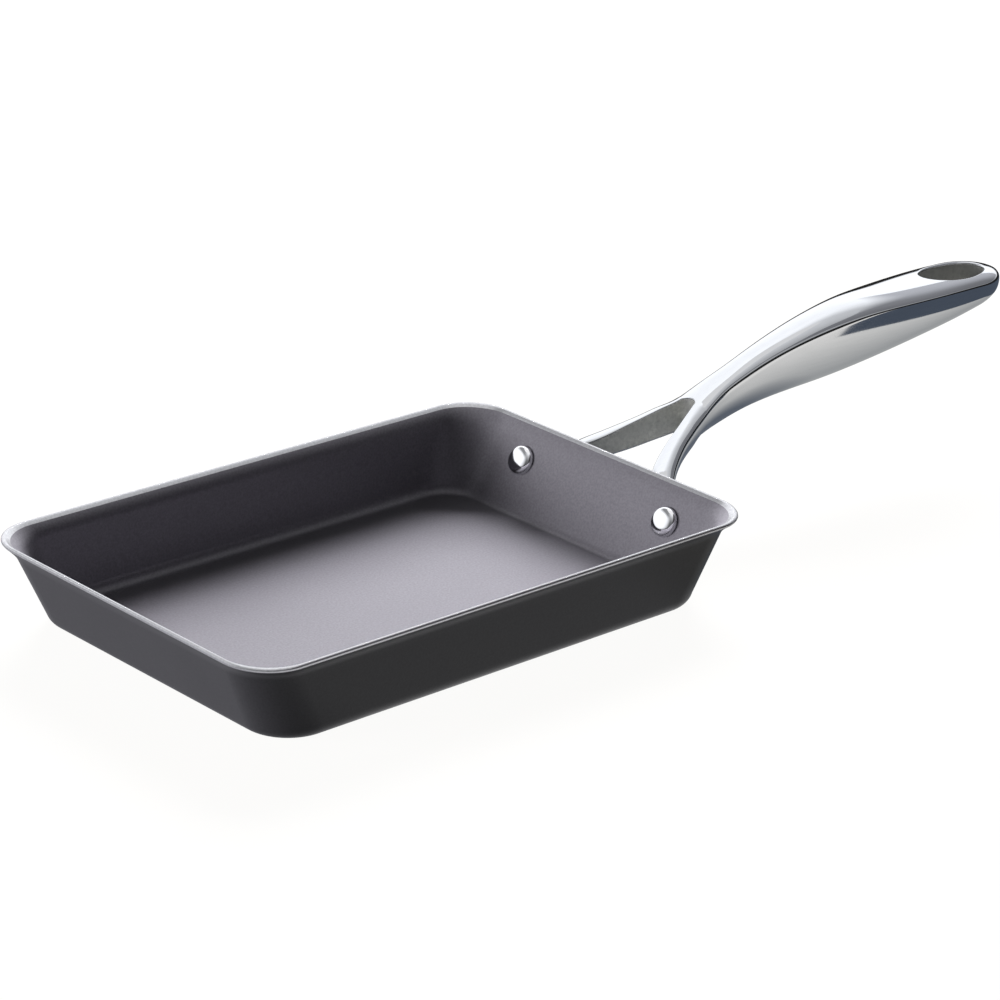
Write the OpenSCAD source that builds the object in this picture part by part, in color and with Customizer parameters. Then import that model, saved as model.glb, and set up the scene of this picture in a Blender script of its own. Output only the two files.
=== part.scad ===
// Rectangular rolled-omelette pan: a pressed sheet-iron tray and a forked cast handle on two rivets.
// Millimetres, +Z up. The origin is the centre of the tray's underside and +X points to the handle.

/* [Tray] */
// Length of the tray over the rim
tray_l = 195; // [180:1:210]
// Width of the tray over the rim
tray_w = 127; // [116:1:140]
// Height of the rim above the underside
tray_h = 27.8; // [26:0.2:31]
// Thickness of the sheet
sheet_t = 1.4; // [1.2:0.1:2]
// Slope of the two short walls from the vertical, in degrees
end_slope = 25; // [21:1:28]
// Slope of the two long walls from the vertical, in degrees
side_slope = 5; // [3:0.5:9]
// Plan radius of the corners just above the floor bend
corner_r = 15.8; // [13:0.2:18]
// Plan radius of the corners at the rim
rim_r = 15; // [13:0.2:18]
// Outer radius of the bend between floor and wall
bend_r = 5.2; // [4:0.2:6]
// Overhang of the lip beyond the place where it starts to curve out
lip_out = 3; // [2.8:0.1:4]
// Height of the outward curve of the lip
lip_h = 4.2; // [4:0.1:5.2]

/* [Handle] */
// Distance from the rim to the tip of the handle
handle_reach = 180; // [170:0.5:195]
// Widest part of the grip
grip_w = 23.4; // [20:0.2:26]
// Wall of the hollow grip
grip_wall = 2.2; // [1.8:0.1:2.6]
// Length of the oval hanging hole
hang_l = 29; // [24:0.5:32]
// Width of the oval hanging hole
hang_w = 15; // [11:0.2:16]
// Distance from the middle of the hanging hole to the tip
hang_back = 20.8; // [19:0.2:24]
// Thickness of each arm's pad under its rivet
pad_t = 3.2; // [2.6:0.1:3.6]

/* [Rivets] */
// Distance between the two rivets
rivet_span = 64.2; // [58:0.2:68]
// Height at which a rivet's axis meets the inner face of the wall
rivet_z = 16.6; // [16:0.1:17.4]
// Diameter of the rivet shank
rivet_d = 5; // [4:0.5:6]
// Diameter of the round head inside the tray
head_d = 9.6; // [8:0.2:11]
// Height of the round head inside the tray
head_h = 2.7; // [1.8:0.1:3.6]
// Diameter of the closed head behind the pad
tail_d = 8.4; // [7:0.2:9]
// Height of the closed head behind the pad
tail_h = 1.5; // [1:0.1:2]

/* [Hidden] */

// Clearance round a rivet shank
shank_gap = 0.05;
// A length that passes right through any wall, a shorter one for the tray, and a cutting block's size
through = 60;
through_wall = 12;
block = 200;
// How much wider the flat seat is than the rivet's closed head
seat_room = 1;
// How square the rivet's two heads are in outline
head_power = 3.2;
tail_power = 2;

// Steps of each curve of the tray
bend_steps = 5;
lip_steps = 4;
edge_steps = 2;
corner_steps = 9;

// Sides of each section and steps between stations of the lofts
grip_sides = 28;
grip_steps = 2;
arm_sides = 18;
arm_steps = 2;
core_sides = 16;
core_steps = 2;
hole_sides = 48;
dome_steps = 8;
bore_fn = 48;
rivet_fn = 64;

// The grip's stations as drawn: distance beyond the rim, half width, then the heights above the rim
// of the top, the underside and the widest line, and last how square the section is above and below
// that line
drawn_reach = 180;
drawn_half_w = 11.7;
grip_stations = [
    [34.4, 6.2, 7.8, -1.4, 4.8, 2.8, 2.7],
    [36.2, 6.9, 9.8, -2.2, 6.4, 3.0, 2.7],
    [42.5, 5.9, 13.3, -0.4, 8.6, 2.9, 2.8],
    [52.5, 5.3, 17.1, 1.6, 12.0, 2.7, 2.8],
    [62.5, 5.5, 20.7, 3.0, 15.6, 2.4, 2.7],
    [77.5, 6.5, 25.0, 4.1, 19.9, 2.2, 2.6],
    [92.5, 7.7, 28.2, 4.9, 22.7, 2.1, 2.6],
    [107.5, 9.1, 29.8, 6.3, 24.9, 2.1, 2.6],
    [124.5, 10.6, 29.8, 8.6, 25.8, 2.2, 2.6],
    [142.5, 11.6, 29.6, 11.5, 25.8, 2.4, 2.6],
    [156.5, 11.7, 29.4, 14.0, 25.5, 2.6, 2.6],
    [164.5, 11.5, 29.2, 15.7, 25.3, 2.6, 2.6]
];
// Length of the rounded tip, and the angles of its sections
tip_l = 15.5;
tip_angles = [20, 38, 54, 68, 80, 87];

// The hollow in the grip: the stations where it starts and ends, and the length and size of its
// rounded start
core_first = 3.5;
core_last = 8.7;
core_nose = 2;
core_nose_w = 0.75;
core_nose_h = 0.8;
// The small outlet of the hollow into the hanging hole: its width, height, and how far it is
// below the grip's widest line
outlet_w = 6;
outlet_h = 4;
outlet_drop = 2.5;
outlet_l = 16;

// One arm's stations as drawn: distance beyond the rim, distance from the centre line, then the
// height of the top above the rim, depth, thickness, how far it leans with the wall, how far from
// its flat inner face it is widest as a share of its thickness, and how square it is
arm_stations = [
    [48, 2.3, 15.4, 14.0, 3.6, 0, 0, 2.8],
    [40.5, 3.2, 12.4, 13.0, 4.9, 0, 0, 2.8],
    [33.5, 5.3, 9.6, 11.4, 4.9, 0, 0, 2.7],
    [26.8, 7.7, 6.9, 10.2, 4.9, 0, 0.04, 2.5],
    [20.5, 10.0, 4.4, 9.4, 5.2, 0, 0.16, 2.4],
    [14.8, 12.4, 2.2, 8.8, 6.0, 0, 0.3, 2.2],
    [9.7, 15.0, 0.0, 8.3, 6.8, 0, 0.36, 2.2],
    [5.1, 18.2, -2.2, 8.1, 7.3, 0.1, 0.36, 2.2],
    [1.2, 22.2, -4.8, 8.4, 6.6, 0.5, 0.25, 2.5],
    [-2.6, 26.8, -6.0, 10.4, 5.8, 0.9, 0.1, 2.8],
    [-4.5, 31.2, -6.3, 11.8, 5.2, 1, 0, 3.0],
    [-4.6, 35.4, -6.4, 11.6, 5.0, 1, 0, 3.0],
    [-4.6, 38.2, -7.2, 10.0, 4.6, 1, 0, 3.0],
    [-4.6, 39.6, -9.0, 6.4, 3.6, 1, 0, 3.0]
];
// Share of an arm's depth above its widest line, and how far ahead of a station its run is measured
arm_above = 0.44;
arm_ahead = 0.1;
drawn_span = 64.6;

rim_x = tray_l / 2;
reach_scale = handle_reach / drawn_reach;
width_scale = grip_w / (2 * drawn_half_w);
tip_x = rim_x + handle_reach;

function mix(a, b, t) = a + (b - a) * t;
function unit(v) = v / norm(v);

// A curve through the middle two of four points, with t from 0 to 1
function curve(a, b, c, d, t) =
    0.5 * (2 * b + (c - a) * t + (2 * a - 5 * b + 4 * c - d) * t * t
        + (3 * b - a - 3 * c + d) * t * t * t);

// The value at step u along a list of stations
function along(list, u) =
    let (
        last = len(list) - 1,
        i = min(floor(u), last - 1)
    )
    curve(list[max(i - 1, 0)], list[i], list[i + 1], list[min(i + 2, last)], u - i);

// A section with its own depth and its own squareness above and below the widest line
function oval(half_w, above, below, high_power, low_power, sides) = [
    for (i = [0 : sides - 1])
        let (
            a = 360 * i / sides,
            c = cos(a),
            s = sin(a),
            depth = s >= 0 ? above : below,
            power = s >= 0 ? high_power : low_power
        )
        [half_w * sign(c) * pow(abs(c), 2 / power), depth * sign(s) * pow(abs(s), 2 / power)]
];

// An arm's section: an oval cut off by the flat inner face, from its top inner corner round to its
// bottom inner corner. The oval is widest at a share of the thickness from that face
function arm_section(thick, depth, inside, power, sides) =
    let (
        open = 90 + asin(pow(inside / (1 - inside), power / 2))
    )
    [
        for (i = [0 : sides - 1])
            let (
                a = open - 2 * open * i / (sides - 1),
                c = abs(a) > 90 ? -cos(180 - abs(a)) : cos(a),
                s = sin(a),
                part = s >= 0 ? arm_above : 1 - arm_above
            )
            [
                thick * (0.5 - inside - (1 - inside) * sign(c) * pow(abs(c), 2 / power)),
                depth * (0.5 - arm_above + part * sign(s) * pow(abs(s), 2 / power))
            ]
    ];

// A closed skin over a list of rings that each have the same number of points
module skin(rings) {
    sides = len(rings[0]);
    last = len(rings) - 1;
    points = [for (ring = rings) each ring];
    walls = [
        for (k = [0 : last - 1], i = [0 : sides - 1])
            let (
                j = (i + 1) % sides,
                a = k * sides + i,
                b = k * sides + j,
                c = b + sides,
                d = a + sides
            )
            each [[a, c, b], [a, d, c]]
    ];
    near_cap = [for (i = [0 : sides - 1]) i];
    far_cap = [for (i = [sides - 1 : -1 : 0]) last * sides + i];
    polyhedron(points = points, faces = concat([near_cap], walls, [far_cap]), convexity = 8);
}

// Outer skin of a tray wall of a given slope, as places on its profile: offset from the flat floor,
// height, and the outward normal
function wall_foot(slope) = [bend_r * cos(slope), bend_r * (1 - sin(slope))];
function lip_flare(slope) = lip_out - lip_h * tan(slope);
function lip_normal(slope, u) =
    let (run = tan(slope) + 2 * lip_flare(slope) * u / lip_h)
    [1, -run] / sqrt(1 + run * run);
function lip_top(slope) = tray_h - sheet_t / 2 * (1 - lip_normal(slope, 1)[1]);
function lip_start(slope) = lip_top(slope) - lip_h;
function bend_place(slope, k) =
    let (a = (90 - slope) * k / bend_steps)
    [bend_r * sin(a), bend_r * (1 - cos(a)), sin(a), -cos(a)];
function lip_place(slope, k) =
    let (
        u = k / lip_steps,
        foot = wall_foot(slope),
        z = lip_start(slope) + lip_h * u,
        n = lip_normal(slope, u)
    )
    [foot[0] + (z - foot[1]) * tan(slope) + lip_flare(slope) * u * u, z, n[0], n[1]];
function outer_places(slope) = concat(
    [for (k = [0 : bend_steps]) bend_place(slope, k)],
    [for (k = [0 : lip_steps]) lip_place(slope, k)]
);
function inset(place) = [place[0] - sheet_t * place[2], place[1] - sheet_t * place[3]];
// The rounded edge of the sheet, from the outer skin over to the inner one
function edge_places(slope) =
    let (
        top = lip_place(slope, lip_steps),
        n = [top[2], top[3]],
        along_sheet = [-n[1], n[0]],
        middle = [top[0], top[1]] - n * sheet_t / 2
    )
    [
        for (k = [1 : edge_steps])
            let (a = 180 * k / (edge_steps + 1))
            middle + (n * cos(a) + along_sheet * sin(a)) * sheet_t / 2
    ];
function profile(slope) =
    let (
        outer = outer_places(slope),
        last = len(outer) - 1
    )
    concat(
        [for (p = outer) [p[0], p[1]]],
        edge_places(slope),
        [for (k = [last : -1 : 0]) inset(outer[k])]
    );
// How far the profile reaches beyond the flat floor
function overall(slope) =
    let (top = lip_place(slope, lip_steps))
    top[0] - sheet_t / 2 * top[2] + sheet_t / 2;
// Half the length and half the width of the flat floor
flat_x = tray_l / 2 - overall(end_slope);
flat_y = tray_w / 2 - overall(side_slope);
// Plan radius of the flat floor's corners
flat_r = corner_r - bend_r * cos((end_slope + side_slope) / 2);

// Plan radius of the corners for a place on the two profiles
function ring_r(end_p, side_p) =
    let (
        out = (end_p[0] + side_p[0]) / 2,
        bend_out = bend_r * cos((end_slope + side_slope) / 2),
        z = (end_p[1] + side_p[1]) / 2
    )
    out < bend_out
        ? flat_r + max(out, 0)
        : mix(corner_r, rim_r, z / tray_h);

// One ring round the tray: four round corners between an end profile and a side profile
function tray_ring(end_p, side_p) =
    let (
        r = ring_r(end_p, side_p),
        cx = flat_x + end_p[0] - r,
        cy = flat_y + side_p[0] - r
    )
    [
        for (q = [0 : 3], i = [0 : corner_steps])
            let (
                a = q * 90 + 90 * i / corner_steps,
                sx = q == 0 || q == 3 ? 1 : -1,
                sy = q < 2 ? 1 : -1
            )
            [
                sx * cx + r * cos(a),
                sy * cy + r * sin(a),
                mix(end_p[1], side_p[1], sin(a) * sin(a))
            ]
    ];

// The handle-end wall: its outer and inner faces where a rivet passes, and the way the rivet points
rivet_way = [cos(end_slope), 0, -sin(end_slope)];
wall_foot_end = wall_foot(end_slope);
outer_wall_x = flat_x + wall_foot_end[0] - wall_foot_end[1] * tan(end_slope);
rivet_inner_x = outer_wall_x + rivet_z * tan(end_slope) - sheet_t / cos(end_slope);
rivet_in = [rivet_inner_x, 0, rivet_z];

// Places its children with their Z axis along a rivet, from the inner face of the wall outwards
module at_rivet(side) {
    translate([rivet_in[0], side * rivet_span / 2, rivet_in[2]])
        rotate([0, 90 + end_slope, 0])
            children();
}

module pan_body() {
    ends = profile(end_slope);
    sides = profile(side_slope);
    color([0.26, 0.25, 0.27])
        difference() {
            skin([for (k = [0 : len(ends) - 1]) tray_ring(ends[k], sides[k])]);
            for (side = [-1, 1])
                at_rivet(side)
                    translate([0, 0, -through_wall / 2])
                        cylinder(d = rivet_d + 2 * shank_gap, h = through_wall, $fn = bore_fn);
        }
}

// A ring of the grip at a station, drawn in by an even wall where it is the core
function grip_ring(st, narrow, low, wall, sides) =
    let (
        half_w = st[1] * width_scale * narrow - wall,
        above = (st[2] - st[4]) * low - wall,
        below = (st[4] - st[3]) * low - wall
    )
    [
        for (p = oval(half_w, above, below, st[5], st[6], sides))
            [rim_x + st[0] * reach_scale, p[0], tray_h + st[4] + p[1]]
    ];

// The station at an angle round the tip, beyond the last drawn station
function tip_station(a) =
    let (
        last = grip_stations[len(grip_stations) - 1],
        before = grip_stations[len(grip_stations) - 2],
        slope = (last - before) / (last[0] - before[0]),
        run = tip_l * sin(a)
    )
    last + [run, 0, slope[2] * run, slope[3] * run, slope[4] * run, 0, 0];

module grip_outer() {
    last = len(grip_stations) - 1;
    skin(concat(
        [
            for (k = [0 : last * grip_steps])
                grip_ring(along(grip_stations, k / grip_steps), 1, 1, 0, grip_sides)
        ],
        [
            for (a = tip_angles)
                grip_ring(tip_station(a), cos(a), sqrt(cos(a)), 0, grip_sides)
        ]
    ));
}

// The hollow inside the grip, from the neck to just before the hanging hole
module grip_core() {
    count = round((core_last - core_first) * core_steps);
    front = along(grip_stations, core_first);
    back = along(grip_stations, core_last);
    nose = [core_nose, 0, 0, 0, 0, 0, 0];
    skin(concat(
        [grip_ring(front - nose, core_nose_w, core_nose_h, grip_wall, core_sides)],
        [
            for (k = [0 : count])
                let (u = mix(core_first, core_last, k / count))
                grip_ring(along(grip_stations, u), 1, 1, grip_wall, core_sides)
        ],
        [grip_ring(back + nose, core_nose_w, core_nose_h, grip_wall, core_sides)]
    ));
    translate([rim_x + back[0] * reach_scale, 0, tray_h + back[4] - outlet_drop])
        rotate([0, 90, 0])
            linear_extrude(height = outlet_l)
                scale([outlet_h, outlet_w])
                    circle(d = 1, $fn = core_sides);
}

// The oval hanging hole, right through the grip
module hang_hole() {
    translate([tip_x - hang_back, 0, tray_h])
        linear_extrude(height = through)
            polygon([
                for (i = [0 : hole_sides - 1])
                    let (a = 360 * i / hole_sides)
                    [hang_l / 2 * cos(a), hang_w / 2 * sin(a)]
            ]);
}

// One section of an arm, across its run in plan and leaning with the wall at the pad
function arm_ring(u, side) =
    let (
        st = along(arm_stations, u),
        ahead = along(arm_stations, min(u + arm_ahead, len(arm_stations) - 1)),
        back = along(arm_stations, max(u - arm_ahead, 0)),
        way = unit([ahead[0] - back[0], ahead[1] - back[1]]),
        lean = end_slope * st[5],
        middle = st[2] - st[3] / 2,
        inside = max(st[6], 0)
    )
    [
        for (p = arm_section(st[4], st[3], inside, st[7], arm_sides))
            [
                rim_x + st[0] - way[1] * p[0] + sin(lean) * p[1],
                side * (st[1] * rivet_span / drawn_span + way[0] * p[0]),
                tray_h + middle + cos(lean) * p[1]
            ]
    ];

module arm(side) {
    count = (len(arm_stations) - 1) * arm_steps;
    rings = [for (k = [0 : count]) arm_ring(k / arm_steps, side)];
    turned = [for (k = [count : -1 : 0]) rings[k]];
    skin(side > 0 ? rings : turned);
}

// What the arms are cut by: the outer face of the wall, the rivet holes and the flat seats behind them
module arm_cuts() {
    translate([outer_wall_x, 0, 0])
        rotate([0, end_slope, 0])
            translate([-block, -block / 2, -block / 2])
                cube(block);
    for (side = [-1, 1])
        at_rivet(side) {
            cylinder(d = rivet_d + 2 * shank_gap, h = through_wall, $fn = bore_fn);
            translate([0, 0, sheet_t + pad_t])
                cylinder(d = tail_d + seat_room, h = through_wall, $fn = bore_fn);
        }
}

module handle() {
    color([0.78, 0.79, 0.81])
        difference() {
            union() {
                grip_outer();
                arm(1);
                arm(-1);
            }
            grip_core();
            hang_hole();
            arm_cuts();
        }
}

// Half the outline of a domed head of a given diameter, height and squareness, from its edge to its
// crown
function dome(d, h, power) = [
    for (i = [0 : dome_steps])
        let (a = 90 * i / dome_steps)
        [d / 2 * pow(cos(a), 2 / power), h * pow(sin(a), 2 / power)]
];

module rivet(side) {
    grip = sheet_t + pad_t;
    head = [for (p = dome(head_d, head_h, head_power)) [p[0], -p[1]]];
    tail = dome(tail_d, tail_h, tail_power);
    color([0.86, 0.86, 0.88])
        at_rivet(side)
            rotate_extrude($fn = rivet_fn)
                polygon(concat(
                    [for (i = [dome_steps : -1 : 0]) head[i]],
                    [[rivet_d / 2, 0], [rivet_d / 2, grip]],
                    [for (p = tail) [p[0], p[1] + grip]]
                ));
}

module rivet_left() {
    rivet(1);
}

module rivet_right() {
    rivet(-1);
}

pan_body();
handle();
rivet_left();
rivet_right();
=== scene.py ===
"""Looks of the rectangular omelette pan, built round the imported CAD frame.

The pieces are worked out in millimetres and written to their meshes in metres. The rest is in metres.
"""
from math import acos, asin, atan2, copysign, cos, hypot, pi, radians, sin, sqrt, tan

import bpy
import numpy as np
from mathutils import Matrix, Vector
from numpy.linalg import norm, solve


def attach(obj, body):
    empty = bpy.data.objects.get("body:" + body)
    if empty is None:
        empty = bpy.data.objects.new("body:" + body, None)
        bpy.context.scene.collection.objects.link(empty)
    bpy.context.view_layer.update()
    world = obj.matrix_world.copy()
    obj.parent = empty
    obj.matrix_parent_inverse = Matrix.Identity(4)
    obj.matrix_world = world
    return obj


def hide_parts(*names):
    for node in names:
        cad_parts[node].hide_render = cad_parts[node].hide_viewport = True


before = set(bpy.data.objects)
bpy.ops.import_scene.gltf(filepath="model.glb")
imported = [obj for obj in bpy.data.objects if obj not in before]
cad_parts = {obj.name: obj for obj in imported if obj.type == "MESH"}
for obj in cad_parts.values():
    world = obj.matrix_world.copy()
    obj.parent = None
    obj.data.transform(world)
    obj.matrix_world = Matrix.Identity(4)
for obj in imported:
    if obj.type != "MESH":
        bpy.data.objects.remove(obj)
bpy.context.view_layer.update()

MM = 0.001
# Points of a mesh that round to the same multiple of this, in millimetres, are joined
WELD = 1e-4

# Tray: size over the lip, thickness of the sheet, and lean of the end walls and the side walls
TRAY_L = 195.0
TRAY_W = 127.0
TRAY_H = 27.8
SHEET = 1.4
END_SLOPE = radians(25)
SIDE_SLOPE = radians(5)
# Radius of the corners above the bend and at the rim, and of the bend round the floor
CORNER_R = 15.8
RIM_R = 15.0
BEND_R = 5.2
# How far out the lip runs over its height
LIP_OUT = 3.0
LIP_H = 4.2

# Rivets: their distance, the height of their axes on the wall's inner face, and the shank
RIVET_SPAN = 64.2
RIVET_Z = 16.6
RIVET_D = 5.0
# Round head in the tray and closed head behind the pad, with the squareness of each dome
HEAD_D = 9.6
HEAD_H = 2.7
HEAD_POWER = 3.2
TAIL_D = 8.4
TAIL_H = 1.5
TAIL_POWER = 2.0

# Handle: the rim's end, from which its places are counted, and the thickness of its pads
RIM_X = TRAY_L / 2
PAD_T = 3.2
# Oval hanging hole, its middle beyond the rim, the rounding of its edges, and the rounded tip
HOLE_L = 29.0
HOLE_W = 15.0
HOLE_X = 159.2
HOLE_FILLET = 0.7
TIP_L = 15.5
# Slot between the arms: end of its rounded crotch beyond the rim, radius of that end, edge rounding
CROTCH_X = 35.4
CROTCH_R = 3.0
EDGE_R = 0.45

# Distance beyond the rim, half width, top, underside and widest line above the rim, and how square
# the section is above and below that line
GRIP_STATIONS = [
    [164.5, 11.5, 29.2, 15.7, 25.3, 2.6, 2.6],
    [156.5, 11.7, 29.4, 14.0, 25.5, 2.6, 2.6],
    [142.5, 11.6, 29.6, 11.5, 25.8, 2.4, 2.6],
    [124.5, 10.6, 29.8, 8.6, 25.8, 2.2, 2.6],
    [107.5, 9.1, 29.8, 6.3, 24.9, 2.1, 2.6],
    [92.5, 7.7, 28.2, 4.9, 22.7, 2.1, 2.6],
    [77.5, 6.5, 25.0, 4.1, 19.9, 2.2, 2.6],
    [62.5, 5.5, 20.7, 3.0, 15.6, 2.4, 2.7],
    [52.5, 5.3, 17.1, 1.6, 12.0, 2.7, 2.8],
    [42.5, 5.9, 13.3, -0.4, 8.6, 2.9, 2.8],
]
# Centre line of an arm: beyond the rim, off the centre line, top above the rim, depth, thickness,
# lean with the wall, share of the depth above the widest line, squareness, and how far from its
# flat inner face the section is widest, as a share of its thickness
ARM_STATIONS = [
    [40.5, 3.2, 12.4, 13.0, 4.9, 0, 0.35, 2.8, 0],
    [33.5, 5.3, 9.6, 11.4, 4.9, 0, 0.39, 2.7, 0],
    [26.8, 7.7, 6.9, 10.2, 4.9, 0, 0.42, 2.5, 0.04],
    [20.5, 10.0, 4.4, 9.4, 5.2, 0, 0.44, 2.4, 0.16],
    [14.8, 12.4, 2.2, 8.8, 6.0, 0, 0.45, 2.2, 0.3],
    [9.7, 15.0, 0.0, 8.3, 6.8, 0, 0.46, 2.2, 0.36],
    [5.1, 18.2, -2.2, 8.1, 7.3, 0.1, 0.47, 2.2, 0.36],
    [1.2, 22.2, -4.8, 8.4, 6.6, 0.5, 0.48, 2.5, 0.25],
    [-2.6, 26.8, -6.0, 10.4, 5.8, 0.9, 0.5, 2.8, 0.1],
    [-4.5, 31.2, -6.3, 11.8, 5.2, 1, 0.5, 3.1, 0],
    [-4.6, 35.4, -6.4, 11.6, 5.0, 1, 0.5, 3.2, 0],
    [-4.6, 38.2, -7.2, 10.0, 4.6, 1, 0.5, 3.1, 0],
    [-4.6, 39.6, -9.0, 6.4, 3.6, 1, 0.5, 3.0, 0],
]


def mix(a, b, t):
    return a + (b - a) * t


def smooth(t):
    t = min(max(t, 0.0), 1.0)
    return t * t * (3 - 2 * t)


def rounding(start, corner, end, t):
    """A point of the rounded edge from start to end that takes the place of a sharp corner."""
    return (1 - t) ** 2 * start + 2 * t * (1 - t) * corner + t * t * end


def add_object(name, data):
    obj = bpy.data.objects.new(name, data)
    bpy.context.scene.collection.objects.link(obj)
    return obj


def mirrored(ring, side):
    """The points of a ring on side 1, or their mirror images on side -1."""
    return [(p[0], p[1] * side, p[2]) for p in ring]


class Spline:
    """A curve with even bending through rows of values, one row at each place along it."""

    def __init__(self, places, rows):
        self.places = np.array(places, float)
        self.rows = np.array(rows, float)
        count = len(places)
        gaps = np.diff(self.places)
        system = np.zeros((count, count))
        wanted = np.zeros(self.rows.shape)
        system[0, 0] = system[-1, -1] = 1
        for i in range(1, count - 1):
            system[i, i - 1 : i + 2] = gaps[i - 1], 2 * (gaps[i - 1] + gaps[i]), gaps[i]
            ahead = (self.rows[i + 1] - self.rows[i]) / gaps[i]
            behind = (self.rows[i] - self.rows[i - 1]) / gaps[i - 1]
            wanted[i] = 6 * (ahead - behind)
        self.bends = solve(system, wanted)

    def at(self, place):
        """The row at a place. Beyond either end the curve runs on straight."""
        i = int(np.clip(np.searchsorted(self.places, place) - 1, 0, len(self.places) - 2))
        gap = self.places[i + 1] - self.places[i]
        run = np.clip(place, self.places[0], self.places[-1]) - self.places[i]
        a, b = self.bends[i], self.bends[i + 1]
        slope = (self.rows[i + 1] - self.rows[i]) / gap - gap * (2 * a + b) / 6
        value = self.rows[i] + slope * run + a * run**2 / 2 + (b - a) / gap * run**3 / 6
        beyond = place - self.places[i] - run
        if beyond:
            value = value + beyond * (slope + a * run + (b - a) / gap * run**2 / 2)
        return value


class Shell:
    """Vertices and faces of one mesh, gathered in millimetres. A face's kind is its material."""

    def __init__(self):
        self.points = []
        self.faces = []
        self.kinds = []

    def add(self, ring):
        """Take in points, and give back their numbers."""
        first = len(self.points)
        self.points.extend(tuple(float(v) for v in p) for p in ring)
        return list(range(first, len(self.points)))

    def face(self, corners, kind):
        self.faces.append(tuple(corners))
        self.kinds.append(kind)

    def band(self, a, b, kind=0, swap=False):
        """Quads between two closed rings of vertex numbers, which face the other way if swapped."""
        if swap:
            a, b = b, a
        for i in range(len(a)):
            j = (i + 1) % len(a)
            self.face((a[i], b[i], b[j], a[j]), kind)

    def half_band(self, side, a, b, kind, skip=()):
        """Quads between two open rows of vertex numbers that face out on either side."""
        for i in range(len(a) - 1):
            if i not in skip:
                corners = (a[i], a[i + 1], b[i + 1], b[i])
                self.face(corners if side < 0 else corners[::-1], kind)

    def welded(self):
        """The points without doubles, and the faces that are left with their kinds."""
        places, numbers, kept = {}, [], []
        for p in self.points:
            key = tuple(int(round(v / WELD)) for v in p)
            if key not in places:
                places[key] = len(kept)
                kept.append(p)
            numbers.append(places[key])
        faces, kinds = [], []
        for corners, kind in zip(self.faces, self.kinds):
            ring = [numbers[c] for c in corners]
            ring = [c for i, c in enumerate(ring) if c != ring[i - 1]]
            if len(set(ring)) > 2:
                faces.append(ring)
                kinds.append(kind)
        return kept, faces, kinds

    def build(self, name, materials):
        """The welded mesh as a scene object in metres."""
        points, faces, kinds = self.welded()
        mesh = bpy.data.meshes.new(name)
        mesh.from_pydata([[v * MM for v in p] for p in points], [], faces)
        for material in materials:
            mesh.materials.append(material)
        mesh.polygons.foreach_set("material_index", kinds)
        mesh.polygons.foreach_set("use_smooth", [True] * len(faces))
        mesh.validate()
        mesh.update()
        return add_object(name, mesh)


# Tray: steps up the bend, the wall and the lip, and over the edge
BEND_STEPS = 14
WALL_STEPS = 8
LIP_STEPS = 12
EDGE_STEPS = 8
# Steps round a corner, and along the long and short sides
CORNER_STEPS = 28
LONG_STEPS = 24
SHORT_STEPS = 16
# Rows of the lip's inner face that get the bright material of the sheet's edge, as a painted highlight
RIM_ROWS = 2
# Narrow rings inside the edge of a flat, which keep its shading even
FLAT_INSETS = (0.4, 6.0)
# Kinds of face: the outer skin, whose darker copy of the iron paints shade, the inner skin, and the rim
OUTSIDE, INSIDE, RIM = 0, 1, 2


def wall_foot(slope):
    """Where the bend ends and the straight wall starts: distance out from the flat, and height."""
    return BEND_R * cos(slope), BEND_R * (1 - sin(slope))


def lip_flare(slope):
    """How much further out the lip runs than the straight wall would."""
    return LIP_OUT - LIP_H * tan(slope)


def lip_normal(slope, u):
    run = tan(slope) + 2 * lip_flare(slope) * u / LIP_H
    size = hypot(1, run)
    return 1 / size, -run / size


def lip_top(slope):
    """Height at which the outer skin ends, so that the edge's crown is at the tray's height."""
    return TRAY_H - SHEET / 2 * (1 - lip_normal(slope, 1)[1])


# A place on the outer skin: distance out from the flat, height, and the outward normal's two parts
def bend_place(slope, share):
    a = (pi / 2 - slope) * share
    return BEND_R * sin(a), BEND_R * (1 - cos(a)), sin(a), -cos(a)


def wall_place(slope, share):
    foot_out, foot_z = wall_foot(slope)
    z = mix(foot_z, lip_top(slope) - LIP_H, share)
    return foot_out + (z - foot_z) * tan(slope), z, cos(slope), -sin(slope)


def lip_place(slope, u):
    foot_out, foot_z = wall_foot(slope)
    z = lip_top(slope) - LIP_H + LIP_H * u
    across = foot_out + (z - foot_z) * tan(slope) + lip_flare(slope) * u * u
    return (across, z, *lip_normal(slope, u))


def wall_profile(slope):
    """Places from the flat underside up the outer skin, over the edge and down the inner skin."""
    outer = [bend_place(slope, k / BEND_STEPS) for k in range(BEND_STEPS)]
    outer += [wall_place(slope, k / WALL_STEPS) for k in range(WALL_STEPS)]
    outer += [lip_place(slope, k / LIP_STEPS) for k in range(LIP_STEPS + 1)]
    across, z, n0, n1 = outer[-1]
    mid = across - n0 * SHEET / 2, z - n1 * SHEET / 2
    edge = []
    for k in range(1, EDGE_STEPS):
        a = pi * k / EDGE_STEPS
        edge.append((
            mid[0] + (n0 * cos(a) - n1 * sin(a)) * SHEET / 2,
            mid[1] + (n1 * cos(a) + n0 * sin(a)) * SHEET / 2,
        ))
    inner = [(p[0] - SHEET * p[2], p[1] - SHEET * p[3]) for p in reversed(outer)]
    return [p[:2] for p in outer] + edge + inner


def half_flat(half, slope):
    """Half the length or width of the flat underside, from half the size over the lip."""
    across, _, n0, _ = lip_place(slope, 1)
    return half - (across - SHEET / 2 * n0 + SHEET / 2)


FLAT_X = half_flat(TRAY_L / 2, END_SLOPE)
FLAT_Y = half_flat(TRAY_W / 2, SIDE_SLOPE)
BEND_OUT = BEND_R * cos((END_SLOPE + SIDE_SLOPE) / 2)


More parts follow.
